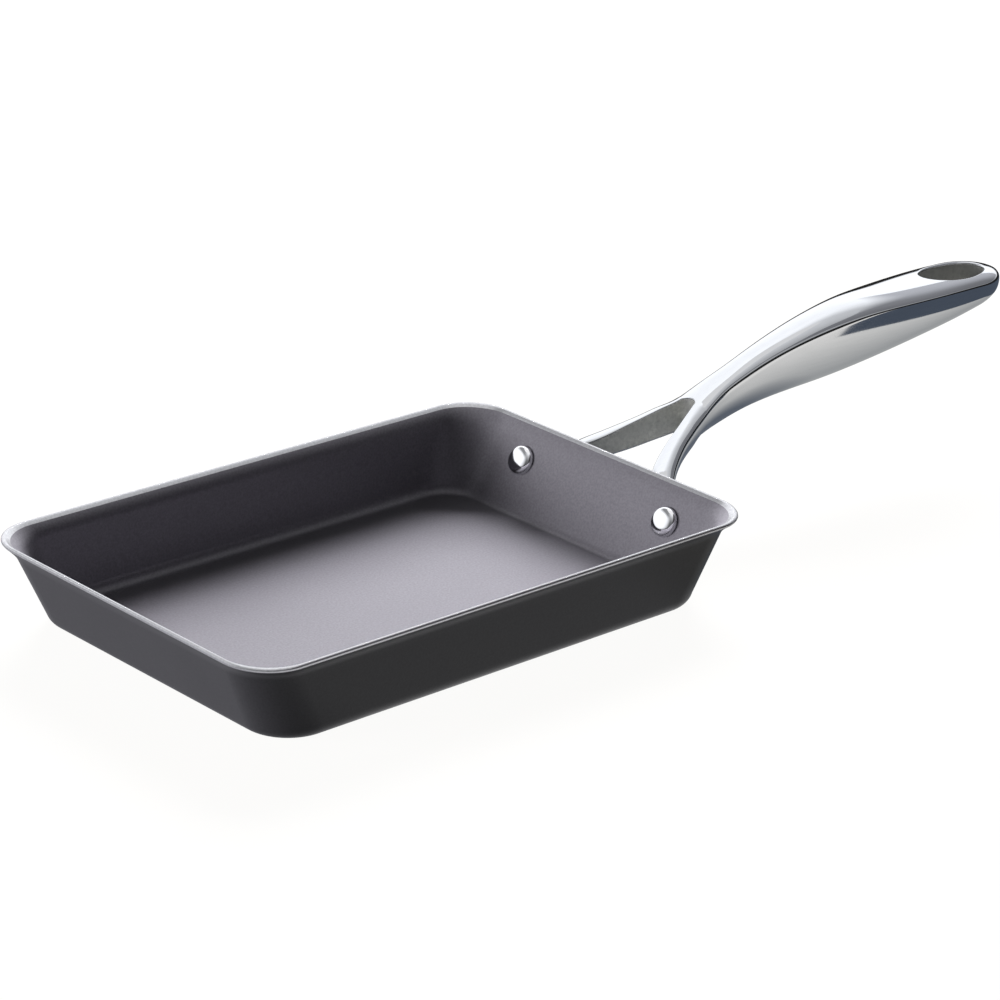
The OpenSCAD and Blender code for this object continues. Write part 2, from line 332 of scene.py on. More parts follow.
def ring_radius(end, side):
    """Corner radius of a ring: it grows round the bend, and changes to the rim's further up."""
    out = (end[0] + side[0]) / 2
    if out < BEND_OUT:
        return CORNER_R - BEND_OUT + max(out, 0)
    return mix(CORNER_R, RIM_R, (end[1] + side[1]) / 2 / TRAY_H)


def tray_ring(end, side):
    """One ring round the tray at a place on the end profile and the side profile."""
    r = ring_radius(end, side)
    cx = FLAT_X + end[0] - r
    cy = FLAT_Y + side[0] - r
    ring = []
    for quarter, (sx, sy) in enumerate([(1, 1), (-1, 1), (-1, -1), (1, -1)]):
        for k in range(CORNER_STEPS + 1):
            a = pi / 2 * (quarter + k / CORNER_STEPS)
            z = mix(end[1], side[1], sin(a) ** 2)
            ring.append((sx * cx + r * cos(a), sy * cy + r * sin(a), z))
        after = [(-cx, cy + r), (-cx - r, -cy), (cx, -cy - r), (cx + r, cy)][quarter]
        steps = SHORT_STEPS if quarter % 2 else LONG_STEPS
        x, y, z = ring[-1]
        for k in range(1, steps):
            ring.append((mix(x, after[0], k / steps), mix(y, after[1], k / steps), z))
    return ring


def add_flat(shell, ring, z, kind):
    """The flat inside a ring, which faces up on the inside and down on the outside."""
    up = kind == INSIDE
    before = ring
    for inset in FLAT_INSETS:
        share = 1 - inset / FLAT_X
        now = shell.add([(shell.points[i][0] * share, shell.points[i][1] * share, z) for i in ring])
        shell.band(before, now, kind, swap=up)
        before = now
    shell.face(before if up else before[::-1], kind)


def pan_body(materials):
    shell = Shell()
    profiles = zip(wall_profile(END_SLOPE), wall_profile(SIDE_SLOPE))
    rings = [shell.add(tray_ring(end, side)) for end, side in profiles]
    rim_start = BEND_STEPS + WALL_STEPS + LIP_STEPS
    rim_end = rim_start + EDGE_STEPS + RIM_ROWS
    for k, (a, b) in enumerate(zip(rings, rings[1:])):
        kind = OUTSIDE if k < rim_start else RIM if k < rim_end else INSIDE
        shell.band(b, a, kind)
    add_flat(shell, rings[0], 0.0, OUTSIDE)
    add_flat(shell, rings[-1], SHEET, INSIDE)
    return shell.build("pan_body_sheet", materials)


# Handle: one half is worked out and mirrored over the centre plane
HALF_STEPS = 72
OUTER_COUNT = HALF_STEPS + 1
FILLET_STEPS = 5
WALL_ROWS = 10
LOFT_SAMPLES = 3000
# How near to the two ends of its oval a section may start
START_RANGE = (-0.95, 0.999)
POLISHED, CAST, HOLE = 0, 1, 2


def arm_rows():
    """Rows along an arm: outer x and y, inner x and y, top, underside, widest line, squareness
    above and below it, lean, and the share of the thickness from the inner face to the widest place.
    """
    rows = []
    last = len(ARM_STATIONS) - 1
    for i, (x, y, top, depth, thick, lean, share, power, inside) in enumerate(ARM_STATIONS):
        ahead = ARM_STATIONS[min(i + 1, last)]
        back = ARM_STATIONS[max(i - 1, 0)]
        run = np.array([ahead[0] - back[0], ahead[1] - back[1]])
        run /= norm(run)
        side = np.array([-run[1], run[0]]) * thick / 2
        outer, inner = (x - side[0], y - side[1]), (x + side[0], y + side[1])
        rows.append([*outer, *inner, top, top - depth, top - depth * share, power, power, lean, inside])
    return rows


def build_splines():
    """Splines of the whole half handle and of the arm's inner face, and the places of their rows.

    A place is the distance along the outer line from the grip's last station before the tip.
    """
    arm = arm_rows()
    loft = [[st[0], st[1], st[0], 0, *st[2:7], 0, 0] for st in GRIP_STATIONS] + arm[1:]
    places = [0.0]
    for a, b in zip(loft, loft[1:]):
        places.append(places[-1] + hypot(a[0] - b[0], a[1] - b[1]))
    arm_places = places[len(GRIP_STATIONS):]
    arm_start = arm_places[0] - hypot(arm[0][0] - arm[1][0], arm[0][1] - arm[1][1])
    inner = Spline([arm_start] + arm_places, [row[2:4] for row in arm])
    return Spline(places, loft), inner, places


LOFT, INNER, PLACES = build_splines()
GRIP_END = GRIP_STATIONS[0][0]
STEPS = np.linspace(0, PLACES[-1], LOFT_SAMPLES)
REACHES = np.minimum.accumulate(np.array([LOFT.at(place)[0] for place in STEPS]))


def place_of(x):
    """The place along the loft at which the outer line is x beyond the rim."""
    return float(np.interp(-x, -REACHES, STEPS))


def grip_shape(x):
    """At x beyond the rim: half width, height above and below the widest line, that line's height,
    and the squareness above and below it.
    """
    place = GRIP_END - x if x > GRIP_END else place_of(x)
    row = LOFT.at(place)
    half_w, above, below = row[1], row[4] - row[6], row[6] - row[5]
    if x > GRIP_END:
        narrow = cos(asin(min((x - GRIP_END) / TIP_L, 1)))
        half_w *= narrow
        above *= sqrt(narrow)
        below *= sqrt(narrow)
    return half_w, above, below, row[6], row[7], row[8]


def grip_height(x, y, up):
    """Height of the outer skin over the rim at a plan place, on the top or the underside."""
    half_w, above, below, widest, high_power, low_power = grip_shape(x)
    power = high_power if up else low_power
    share = max(1 - (abs(y) / half_w) ** power, 0) ** (1 / power)
    return widest + above * share if up else widest - below * share


def edge_rise(depth, power, start, reach):
    """How much a face would still rise over the width of the slot's rounded edge."""
    size = abs(start)
    steep = size ** (power - 1) * (1 - size**power) ** (1 / power - 1)
    return copysign(depth * steep / reach * EDGE_R, start)


def slot_side(high, low, foot, rise, drop):
    """The slot's lower rounded edge, its wall over a plan place, and its upper rounded edge."""
    corner_high = np.array([*foot, high[2] + rise])
    corner_low = np.array([*foot, low[2] - drop])
    end_high = corner_high - np.array([0, 0, EDGE_R])
    end_low = corner_low + np.array([0, 0, EDGE_R])
    points = []
    for k in range(1, FILLET_STEPS + 1):
        points.append(rounding(np.array(low), corner_low, end_low, k / FILLET_STEPS))
    for k in range(1, WALL_ROWS):
        points.append(mix(end_low, end_high, k / WALL_ROWS))
    for k in range(FILLET_STEPS):
        points.append(rounding(end_high, corner_high, np.array(high), k / FILLET_STEPS))
    return points


def section(tip, centre, outer, top, bottom, widest, high_power, low_power, lean=0.0, foot=None):
    """Half section from the slot's edge over the outer side to the underside, then up the slot wall.

    tip is where the top face meets the slot's edge rounding, centre the middle of the oval, which
    lies before the tip or beyond it. foot is the slot wall's plan place, which the grip has not.
    """
    reach = norm(outer - centre)
    way = (outer - centre) / reach
    start = float(np.clip(np.dot(tip - centre, way) / reach, *START_RANGE))
    points = []
    for k in range(HALF_STEPS + 1):
        power = high_power if 2 * k <= HALF_STEPS else low_power
        open_a = acos(copysign(abs(start) ** (power / 2), start))
        a = open_a * (1 - 2 * k / HALF_STEPS)
        out = copysign(reach * abs(cos(a)) ** (2 / power), cos(a))
        if k in (0, HALF_STEPS):
            out = start * reach
        depth = (top - widest) if a >= 0 else (widest - bottom)
        z = widest + copysign(depth * abs(sin(a)) ** (2 / power), a)
        points.append((*(centre + way * out), z))
    if foot is not None:
        rise = edge_rise(top - widest, high_power, start, reach)
        drop = edge_rise(widest - bottom, low_power, start, reach)
        points += slot_side(points[0], points[-1], foot, rise, drop)
    middle = (top + bottom) / 2
    tilt = END_SLOPE * lean
    placed = []
    for x, y, z in points:
        up = z - middle
        placed.append((RIM_X + x + sin(tilt) * up, y, TRAY_H + middle + cos(tilt) * up))
    return placed


# The handle-end wall: where its outer face would meet the ground, its way out, and the point on its
# inner face that is midway between the rivets
OUTER_WALL_X = FLAT_X + wall_foot(END_SLOPE)[0] - wall_foot(END_SLOPE)[1] * tan(END_SLOPE)
WALL_WAY = np.array([cos(END_SLOPE), 0, -sin(END_SLOPE)])
INNER_WALL_X = OUTER_WALL_X + RIVET_Z * tan(END_SLOPE) - SHEET / cos(END_SLOPE)
RIVET_INNER = np.array([INNER_WALL_X, 0, RIVET_Z])
# Where a pad starts off the centre line, and how far its flat seat reaches past a closed head
PAD_FROM_Y = 18.0
SEAT_MARGIN = 0.5


def against_wall(point):
    """A point of a pad, moved out to the wall's face, or in to the flat seat round a rivet."""
    p = np.array(point)
    if p[1] < PAD_FROM_Y:
        return point
    inside = np.dot(p - np.array([OUTER_WALL_X, 0, 0]), WALL_WAY)
    if inside < 0:
        p = p - WALL_WAY * inside
    from_axis = p - RIVET_INNER - np.array([0, RIVET_SPAN / 2, 0])
    along = np.dot(from_axis, WALL_WAY)
    across = norm(from_axis - along * WALL_WAY)
    if across < TAIL_D / 2 + SEAT_MARGIN and along > SHEET + PAD_T:
        p = p - WALL_WAY * (along - SHEET - PAD_T)
    return tuple(p)


# Sections round the tip: how many, and the degrees between them
TIP_RINGS = 22
TIP_TURN = 4
# Sections along the grip: the widest step, the step at the slot's edge and its growth away from
# there, and how far from that edge the last one stays
GRIP_STEP = 1.2
SLOT_STEP = 0.25
SLOT_GROWTH = 0.12
SLOT_CLEAR = 0.7
SLOT_EDGE_X = CROTCH_X + EDGE_R
# The crotch: its steps, how far round they go, and the reach of the outer line beside its end
CROTCH_STEPS = 14
CROTCH_TURN = radians(70)
CROTCH_END_X = 34.96
# Where the oval's middle has gone over from the centre plane to the arm's own, the step along the
# arm, and the least sideways part of a section's way for which its middle is on the centre plane
BLEND_END_X = 27.0
ARM_STEP = 0.6
LEAST_SIDEWAYS = 0.2


def grip_sections():
    """Open sections from the tip to the slot's edge."""
    reaches = []
    for k in range(1, TIP_RINGS + 1):
        reaches.append(GRIP_END + TIP_L * sin(radians(90 - TIP_TURN * k)))
    x = GRIP_END
    while x > SLOT_EDGE_X + SLOT_CLEAR:
        reaches.append(x)
        x -= min(GRIP_STEP, SLOT_STEP + (x - SLOT_EDGE_X) * SLOT_GROWTH)
    sections = []
    for x in reaches:
        half_w, above, below, widest, high_power, low_power = grip_shape(x)
        centre, outer = np.array([x, 0.0]), np.array([x, half_w])
        sections.append(section(
            centre, centre, outer, widest + above, widest - below, widest, high_power, low_power
        ))
    return sections


def arm_spokes(start_place):
    """Where sections run: the place on the loft, the edge of the top face, and the slot's wall."""
    spokes = []
    end_place = place_of(CROTCH_END_X)
    crotch_centre = np.array([CROTCH_X - CROTCH_R, 0.0])
    for k in range(CROTCH_STEPS + 1):
        turn = CROTCH_TURN * k / CROTCH_STEPS
        share = sin(turn) / sin(CROTCH_TURN) * 0.5 + k / (2 * CROTCH_STEPS)
        way = np.array([cos(turn), sin(turn)])
        tip, foot = crotch_centre + way * (CROTCH_R + EDGE_R), crotch_centre + way * CROTCH_R
        spokes.append((mix(start_place, end_place, share), tip, foot))
    place = end_place
    while place < PLACES[-1]:
        place = min(place + ARM_STEP, PLACES[-1])
        foot = INNER.at(place)
        outer = LOFT.at(place)[:2]
        way = (outer - foot) / norm(outer - foot)
        spokes.append((place, foot + way * EDGE_R, foot))
    return spokes


def arm_sections():
    """Closed sections from the crotch's middle round to the arm, and along it to the pad's end."""
    start_place = place_of(SLOT_EDGE_X)
    blend_end = place_of(BLEND_END_X)
    sections = []
    for place, tip, foot in arm_spokes(start_place):
        row = LOFT.at(place)
        outer = row[:2]
        way = (outer - tip) / norm(outer - tip)
        share = smooth((place - start_place) / (blend_end - start_place))
        back = tip[1] / way[1] if way[1] > LEAST_SIDEWAYS else EDGE_R
        centre = mix(tip - way * back, mix(foot, outer, max(row[10], 0)), share)
        sections.append(section(tip, centre, outer, *row[4:10], foot))
    return sections


# The pad's rounded end: how far it bulges, and the degrees of its rings
PAD_BULGE = 0.8
PAD_TURNS = (25, 50, 75)
# The grip's grid gives way to rings round the hanging hole: how far up its sides and how far beyond
# the hole it goes, and the rows of those rings and of the hole's wall
PATCH_ANGLE = radians(40)
PATCH_MARGIN = 3.0
PATCH_ROWS = 10
HOLE_ROWS = 12


def patch_block(grip):
    """The part of the grip's grid that gives way: its first and last section, and its columns."""
    reaches = [ring[0][0] - RIM_X for ring in grip]
    half = HOLE_L / 2 + PATCH_MARGIN
    first = max(k for k, x in enumerate(reaches) if x > HOLE_X + half)
    last = min(k for k, x in enumerate(reaches) if x < HOLE_X - half)
    columns = int(round((pi / 2 - PATCH_ANGLE) / pi * HALF_STEPS))
    return first, last, columns


def add_grip(shell, side, grip, patch):
    """One half of the grip's skin, and the vertex numbers of its last section."""
    first, last, columns = patch
    patched = set(range(columns)) | set(range(HALF_STEPS - columns, HALF_STEPS))
    rings = [shell.add(mirrored(ring, side)) for ring in grip]
    pole = shell.add([(RIM_X + GRIP_END + TIP_L, 0, TRAY_H + LOFT.at(-TIP_L)[6])])[0]
    for i in range(HALF_STEPS):
        corners = (pole, rings[0][i + 1], rings[0][i])
        shell.face(corners if side > 0 else corners[::-1], POLISHED)
    for k in range(len(rings) - 1):
        skip = patched if first <= k < last else ()
        shell.half_band(side, rings[k + 1], rings[k], POLISHED, skip)
    return rings[-1]


def add_arm(shell, side, arm, grip_ring):
    """One arm: its polished skin and rounded edges, the cast wall of the slot, and the pad."""
    rings = [shell.add(mirrored([against_wall(p) for p in ring], side)) for ring in arm]
    shell.half_band(side, rings[0][:OUTER_COUNT], grip_ring, POLISHED)
    wall_low = OUTER_COUNT + FILLET_STEPS - 1
    wall_high = wall_low + WALL_ROWS
    for b, a in zip(rings, rings[1:]):
        shell.half_band(side, a[: wall_low + 1], b[: wall_low + 1], POLISHED)
        shell.half_band(side, a[wall_low : wall_high + 1], b[wall_low : wall_high + 1], CAST)
        shell.half_band(side, a[wall_high:] + a[:1], b[wall_high:] + b[:1], POLISHED)
    end = np.array([shell.points[i] for i in rings[-1]])
    middle = end.mean(0)
    before = rings[-1]
    for turn in PAD_TURNS:
        c, s = cos(radians(turn)), sin(radians(turn))
        bulge = np.array([0, side * PAD_BULGE * s, 0])
        now = shell.add([middle + (p - middle) * c + bulge for p in end])
        shell.half_band(side, now + now[:1], before + before[:1], POLISHED)
        before = now
    shell.face(before if side < 0 else before[::-1], POLISHED)


def patch_edge(grip, patch, up):
    """The closed edge of the patch on the top or the underside, round both halves."""
    first, last, columns = patch

    def at(k, j):
        return grip[k][j if up else HALF_STEPS - j]

    loop = [at(k, columns) for k in range(first, last + 1)]
    loop += [at(last, j) for j in range(columns - 1, -1, -1)]
    loop += mirrored(loop[::-1][1:], -1)
    loop += mirrored([at(first, j) for j in range(columns - 1, -1, -1)], -1)
    loop += [at(first, j) for j in range(1, columns)]
    return loop


def oval(a, margin):
    """A plan place on the hole's outline, widened by a margin."""
    x = RIM_X + HOLE_X + (HOLE_L / 2 + margin) * cos(a)
    return x, (HOLE_W / 2 + margin) * sin(a)


def hole_edge(shell, loop, up):
    """Rings from the patch's edge in to the hole and over its rounded edge."""
    angles = [atan2(p[1] / HOLE_W, (p[0] - RIM_X - HOLE_X) / HOLE_L) for p in loop]
    before = shell.add(loop)

    def inwards(ring):
        now = shell.add(ring)
        shell.band(before, now, POLISHED, swap=up)
        return now

    for k in range(1, PATCH_ROWS + 1):
        ring = []
        for p, a in zip(loop, angles):
            wide = oval(a, HOLE_FILLET)
            x, y = mix(p[0], wide[0], k / PATCH_ROWS), mix(p[1], wide[1], k / PATCH_ROWS)
            ring.append((x, y, TRAY_H + grip_height(x - RIM_X, y, up)))
        before = inwards(ring)
    starts = [np.array(shell.points[i]) for i in before]
    down = np.array([0, 0, HOLE_FILLET if up else -HOLE_FILLET])
    for k in range(1, FILLET_STEPS + 1):
        ring = []
        for start, a in zip(starts, angles):
            corner = np.array([*oval(a, 0), start[2]])
            ring.append(rounding(start, corner, corner - down, k / FILLET_STEPS))
        before = inwards(ring)
    return before


def hang_hole(shell, grip, patch):
    """The grip's faces round the hanging hole, the hole's rounded edges and its wall."""
    high = hole_edge(shell, patch_edge(grip, patch, True), True)
    low = hole_edge(shell, patch_edge(grip, patch, False), False)
    tops, lows = (np.array([shell.points[i] for i in ring]) for ring in (high, low))
    before = high
    for k in range(1, HOLE_ROWS):
        now = shell.add(mix(tops, lows, k / HOLE_ROWS))
        shell.band(now, before, HOLE)
        before = now
    shell.band(low, before, HOLE)


# Where normals are exact: from this far beyond the rim, to this share of the tip, and on vertices
# that are this near to the grip's skin, as a share of its size
EXACT_FROM = 44.0
EXACT_TO = 0.995
SKIN_SHARE = 0.004
# The shapes along the grip that they come from: how many, how far before the first exact one and to
# which share of the tip, and the step for a slope
SHAPE_COUNT = 900
SHAPES_BEFORE = 1
SHAPES_TO = 0.998
SLOPE_STEP = 0.05
# Where normals are evened out: from this far beyond the rim, where the skin faces up at least this
# much, and in how many rounds
EVEN_FROM = 26.0
EVEN_UP = 0.25
EVEN_ROUNDS = 80
# Points are at one place where they round to the same multiple of this
KEY_SIZE = 0.002


def outside(points, grid, shapes):
    """By which share points lie outside the grip's skin, or inside it where that is below zero."""
    half_w, above, below, widest, high, low = (np.interp(points[:, 0], grid, c) for c in shapes.T)
    over = points[:, 2] >= widest
    depth = np.where(over, above, below)
    power = np.where(over, high, low)
    across = (np.abs(points[:, 1]) / half_w) ** power
    return (across + (np.abs(points[:, 2] - widest) / depth) ** power) ** (1 / power) - 1


def vectors(items, name):
    """The vector of that name of each item of a mesh."""
    values = np.zeros(len(items) * 3)
    items.foreach_get(name, values)
    return values.reshape(-1, 3)


def place_keys(points):
    """Whole numbers that are the same for points at one place, or at its mirror image."""
    return [tuple(round(v / KEY_SIZE) for v in (x, abs(y), z)) for x, y, z in points]


def even_normals(mesh, points, exact_normals, skin):
    """Fill in the normals of the neck's top, where the two arms' sections meet, from those round it."""
    skin_keys = set(place_keys(skin))
    on_skin = np.array([key in skin_keys for key in place_keys(points + np.array([RIM_X, 0, TRAY_H]))])
    normals = vectors(mesh.vertex_normals, "vector")
    exact = norm(exact_normals, axis=1) > 0.5
    normals[exact] = exact_normals[exact]
    edges = np.zeros(len(mesh.edges) * 2, int)
    mesh.edges.foreach_get("vertices", edges)
    edges = edges.reshape(-1, 2)
    edges = edges[on_skin[edges[:, 0]] & on_skin[edges[:, 1]]]
    free = on_skin & ~exact & (normals[:, 2] > EVEN_UP) & (points[:, 0] > EVEN_FROM)
    for _ in range(EVEN_ROUNDS):
        total = normals.copy()
        np.add.at(total, edges[:, 0], normals[edges[:, 1]])
        np.add.at(total, edges[:, 1], normals[edges[:, 0]])
        total /= norm(total, axis=1, keepdims=True) + 1e-12
        normals[free] = total[free]
    exact_normals[free] = normals[free]


def set_grip_normals(mesh, skin):
    """Exact normals on the grip's skin, so that the polish reflects evenly, and even ones beside them."""
    points = vectors(mesh.vertices, "co") / MM - np.array([RIM_X, 0, TRAY_H])
    grid = np.linspace(EXACT_FROM - SHAPES_BEFORE, GRIP_END + TIP_L * SHAPES_TO, SHAPE_COUNT)
    shapes = np.array([grip_shape(x) for x in grid])
    slopes = []
    for step in np.eye(3) * SLOPE_STEP:
        slopes.append(outside(points + step, grid, shapes) - outside(points - step, grid, shapes))
    normals = np.stack(slopes, axis=1)
    normals /= norm(normals, axis=1, keepdims=True)
    away = np.abs(outside(points, grid, shapes)) > SKIN_SHARE
    away |= (points[:, 0] < EXACT_FROM) | (points[:, 0] > GRIP_END + TIP_L * EXACT_TO)
    # Where a normal is left at zero, the mesh's own one stays
    normals[away] = 0
    even_normals(mesh, points, normals, skin)
    mesh.normals_split_custom_set_from_vertices([tuple(n) for n in normals])


def handle(materials):
    shell = Shell()
    grip, arm = grip_sections(), arm_sections()
    patch = patch_block(grip)
    for side in (1, -1):
        grip_ring = add_grip(shell, side, grip, patch)
        add_arm(shell, side, arm, grip_ring)
    hang_hole(shell, grip, patch)
    obj = shell.build("handle_casting", materials)
    skin = [p for ring in grip + arm for p in ring[:OUTER_COUNT]]
    set_grip_normals(obj.data, skin)
    return obj


# Rivets: steps up the head and the closed head, and round the axis
HEAD_STEPS = 24
TAIL_STEPS = 12
TURN_STEPS = 72


def dome(diameter, height, power, steps):
    """Half outline of a round head from its edge to its crown."""
    places = []
    for k in range(steps + 1):
        a = pi / 2 * k / steps
        across = diameter / 2 * max(cos(a), 0) ** (2 / power)
        places.append((across, height * sin(a) ** (2 / power)))
    return places


def rivet(name, side, materials):
    """A rivet turned about its own axis: domed head in the tray, shank, and closed head behind."""
    shell = Shell()
    grip = SHEET + PAD_T
    outline = [(across, -up) for across, up in reversed(dome(HEAD_D, HEAD_H, HEAD_POWER, HEAD_STEPS))]
    outline += [(RIVET_D / 2, 0), (RIVET_D / 2, grip)]
    outline += [(across, up + grip) for across, up in dome(TAIL_D, TAIL_H, TAIL_POWER, TAIL_STEPS)]
    turn = pi / 2 + END_SLOPE
    rings = []
    for across, along in outline:
        ring = []
        for k in range(TURN_STEPS):
            a = 2 * pi * k / TURN_STEPS
            x, y = across * cos(a), across * sin(a)
            ring.append((
                RIVET_INNER[0] + x * cos(turn) + along * sin(turn),
                side * RIVET_SPAN / 2 + y,
                RIVET_INNER[2] - x * sin(turn) + along * cos(turn),
            ))
        rings.append(shell.add(ring))
    for a, b in zip(rings, rings[1:]):
        shell.band(b, a)
    return shell.build(name, materials)


# Materials: ranges that hold nearly all and most of a noise's values
NEARLY_ALL = (0.3, 0.7)
MOST = (0.35, 0.65)


def new_material(name):
    material = bpy.data.materials.new(name)
    material.use_nodes = True
    tree = material.node_tree
    return material, tree, tree.nodes["Principled BSDF"]


def feed(tree, made, inputs):
    """Set inputs of a node to numbers and colours, or link them to other nodes' outputs."""
    for name, value in inputs.items():
        socket = made.inputs[name]
        if isinstance(value, bpy.types.NodeSocket):
            tree.links.new(value, socket)
        else:
            socket.default_value = (*value, 1) if socket.type == "RGBA" else value


def node(tree, kind, inputs=None, **settings):
    made = tree.nodes.new(kind)
    for key, value in settings.items():
        setattr(made, key, value)
    feed(tree, made, inputs or {})
    return made


def own_coordinates(tree):
    """The object's own coordinates, in metres."""
    return node(tree, "ShaderNodeTexCoord").outputs["Object"]


def noise(tree, coords, scale, detail, roughness=0.5, stretch=None):
    if stretch is not None:
        mapping = node(tree, "ShaderNodeMapping", {"Scale": stretch, "Vector": coords})
        coords = mapping.outputs["Vector"]
    inputs = {"Vector": coords, "Scale": scale, "Detail": detail, "Roughness": roughness}
    return node(tree, "ShaderNodeTexNoise", inputs).outputs["Fac"]


def ramp(tree, value, low, high, to_low, to_high):
    """The value run from one range into another, kept inside it."""
    inputs = {"Value": value, "From Min": low, "From Max": high, "To Min": to_low, "To Max": to_high}
    return node(tree, "ShaderNodeMapRange", inputs).outputs["Result"]


def maths(tree, operation, *values):
    return node(tree, "ShaderNodeMath", dict(enumerate(values)), operation=operation).outputs[0]


def blend(tree, share, a, b):
    """From colour a to colour b."""
    made = node(tree, "ShaderNodeMix", data_type="RGBA")
    feed(tree, made, {"Factor": share, "A": a, "B": b})
    return made.outputs["Result"]


def bump(tree, height, strength, distance):
    inputs = {"Height": height, "Strength": strength, "Distance": distance}
    return node(tree, "ShaderNodeBump", inputs).outputs["Normal"]


def iron_material(name, dark, light, metallic, rough, grain, specular=0.5):
    """Heat-treated sheet iron: a fine even grain with faint wide clouds."""
    material, tree, shader = new_material(name)
    coords = own_coordinates(tree)
    speckle = noise(tree, coords, scale=1500, detail=1.5)
    clouds = noise(tree, coords, scale=22, detail=3)
    shade = blend(tree, ramp(tree, speckle, *NEARLY_ALL, 0, 1), dark, light)
    feed(tree, shader, {
        "Base Color": blend(tree, ramp(tree, clouds, *NEARLY_ALL, 0.0, 0.25), shade, dark),
        "Roughness": ramp(tree, clouds, *NEARLY_ALL, rough - 0.02, rough + 0.03),
        "Metallic": metallic,
        "Specular IOR Level": specular,
        "Normal": bump(tree, speckle, strength=grain, distance=0.00005),
    })
    return material


def polished_material(name, colour, rough):
    """Mirror-polished steel with very faint buffing lines along X and a slight waviness."""
    material, tree, shader = new_material(name)
    coords = own_coordinates(tree)
    lines = noise(tree, coords, scale=900, detail=3, stretch=(0.06, 1.0, 1.0))
    line_colour = tuple(c * 0.97 for c in colour)
    waves = noise(tree, coords, scale=60, detail=1, stretch=(0.5, 1.0, 1.0))
    feed(tree, shader, {
        "Base Color": blend(tree, ramp(tree, lines, *MOST, 0, 1), line_colour, colour),
        "Roughness": ramp(tree, lines, *NEARLY_ALL, rough * 0.85, rough * 1.15),
        "Metallic": 1.0,
        "Normal": bump(tree, waves, strength=0.35, distance=0.00008),
    })
    return material


def cast_material(name, tone):
    """Steel left as it was cast: dull olive grey with a coarse skin and small pits."""
    material, tree, shader = new_material(name)
    dark, middle, light = (
        tuple(bright * tone * c for c in (1.0, 1.0, 0.955)) for bright in (0.50, 0.56, 0.80)
    )
    coords = own_coordinates(tree)
    grains = noise(tree, coords, scale=700, detail=4, roughness=0.65)
    patches = noise(tree, coords, scale=120, detail=3)
    shade = blend(tree, ramp(tree, grains, *NEARLY_ALL, 0, 1), dark, light)
    feed(tree, shader, {
        "Base Color": blend(tree, ramp(tree, patches, *MOST, 0, 0.45), shade, middle),
        "Roughness": ramp(tree, grains, *NEARLY_ALL, 0.5, 0.65),
        "Metallic": 0.85,
        "Normal": bump(tree, grains, strength=0.6, distance=0.00012),
    })
    return material


def make_pieces():
    """The four pieces, each in place of its CAD node."""
    iron_inside = iron_material(
        "iron_inside", dark=(0.13, 0.124, 0.142), light=(0.172, 0.165, 0.187),
        metallic=0.1, rough=0.34, grain=0.12, specular=0.25,
    )
    # The outside is a far darker copy of the same iron: painted shade on the outer walls and the
    # underside
    iron_outside_shaded = iron_material(
        "iron_outside_shaded", dark=(0.027, 0.026, 0.03), light=(0.035, 0.034, 0.039),
        metallic=0.03, rough=0.34, grain=0.12, specular=0.22,
    )
    # The rim's bright material is partly the worn bare edge of the sheet, partly a painted highlight on
    # the lip
    iron_rim_wear_and_highlight = iron_material(
        "iron_rim_wear_and_highlight", dark=(0.44, 0.44, 0.46), light=(0.56, 0.56, 0.58),
        metallic=0.8, rough=0.3, grain=0.08,
    )
    steel = polished_material("polished_steel", colour=(0.63, 0.64, 0.66), rough=0.06)
    cast_steel = cast_material("cast_steel", tone=1.05)
    # The hanging hole's wall is a darker copy of the cast steel: painted shade in the recess
    hole_steel_shaded = cast_material("hole_steel_shaded", tone=0.52)
    rivet_steel = polished_material("rivet_steel", colour=(0.86, 0.86, 0.88), rough=0.06)
    pieces = [
        (pan_body([iron_outside_shaded, iron_inside, iron_rim_wear_and_highlight]), "pan_body", "iron"),
        (handle([steel, cast_steel, hole_steel_shaded]), "handle", "polished_steel"),
        (rivet("rivet_left_steel", 1, [rivet_steel]), "rivet_left", "rivet_steel"),
        (rivet("rivet_right_steel", -1, [rivet_steel]), "rivet_right", "rivet_steel"),
    ]
    for piece, cad_node, slot in pieces:
        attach(piece, "root")
        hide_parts(cad_node)


# The photo's camera, fitted to the pan's real size
CAMERA_PLACE = Vector((-0.679567, -0.753703, 0.445306))
CAMERA_FORWARD = Vector((0.647437, 0.664596, -0.373012))
CAMERA_ROLL = radians(2.908)
CAMERA_LENS = 133.486
CAMERA_SENSOR = 36.0
CAMERA_SHIFT = (-0.010656, -0.000791)
CAMERA_CLIP = (0.01, 20)


def make_camera():
    data = bpy.data.cameras.new("camera")
    data.lens = CAMERA_LENS
    data.sensor_width = CAMERA_SENSOR
    data.shift_x, data.shift_y = CAMERA_SHIFT
    data.clip_start, data.clip_end = CAMERA_CLIP
    forward = CAMERA_FORWARD.normalized()
    level_right = forward.cross(Vector((0, 0, 1))).normalized()
    level_up = level_right.cross(forward)
    right = cos(CAMERA_ROLL) * level_right + sin(CAMERA_ROLL) * level_up
    up = right.cross(forward)
    turn = Matrix((right, up, -forward)).transposed()
    obj = add_object("camera", data)
    obj.matrix_world = Matrix.Translation(CAMERA_PLACE) @ turn.to_4x4()
    bpy.context.scene.camera = obj


def seen_by(tree):
    """1 for rays from the camera, from a mirror or through glass, 0 for other rays."""
    path = node(tree, "ShaderNodeLightPath").outputs
    seen = maths(tree, "MAXIMUM", path["Is Camera Ray"], path["Is Glossy Ray"])
    return maths(tree, "MAXIMUM", seen, path["Is Transmission Ray"])


# Strength of the white world as a light. To the camera and in mirrors it is 1
AMBIENT = 0.06


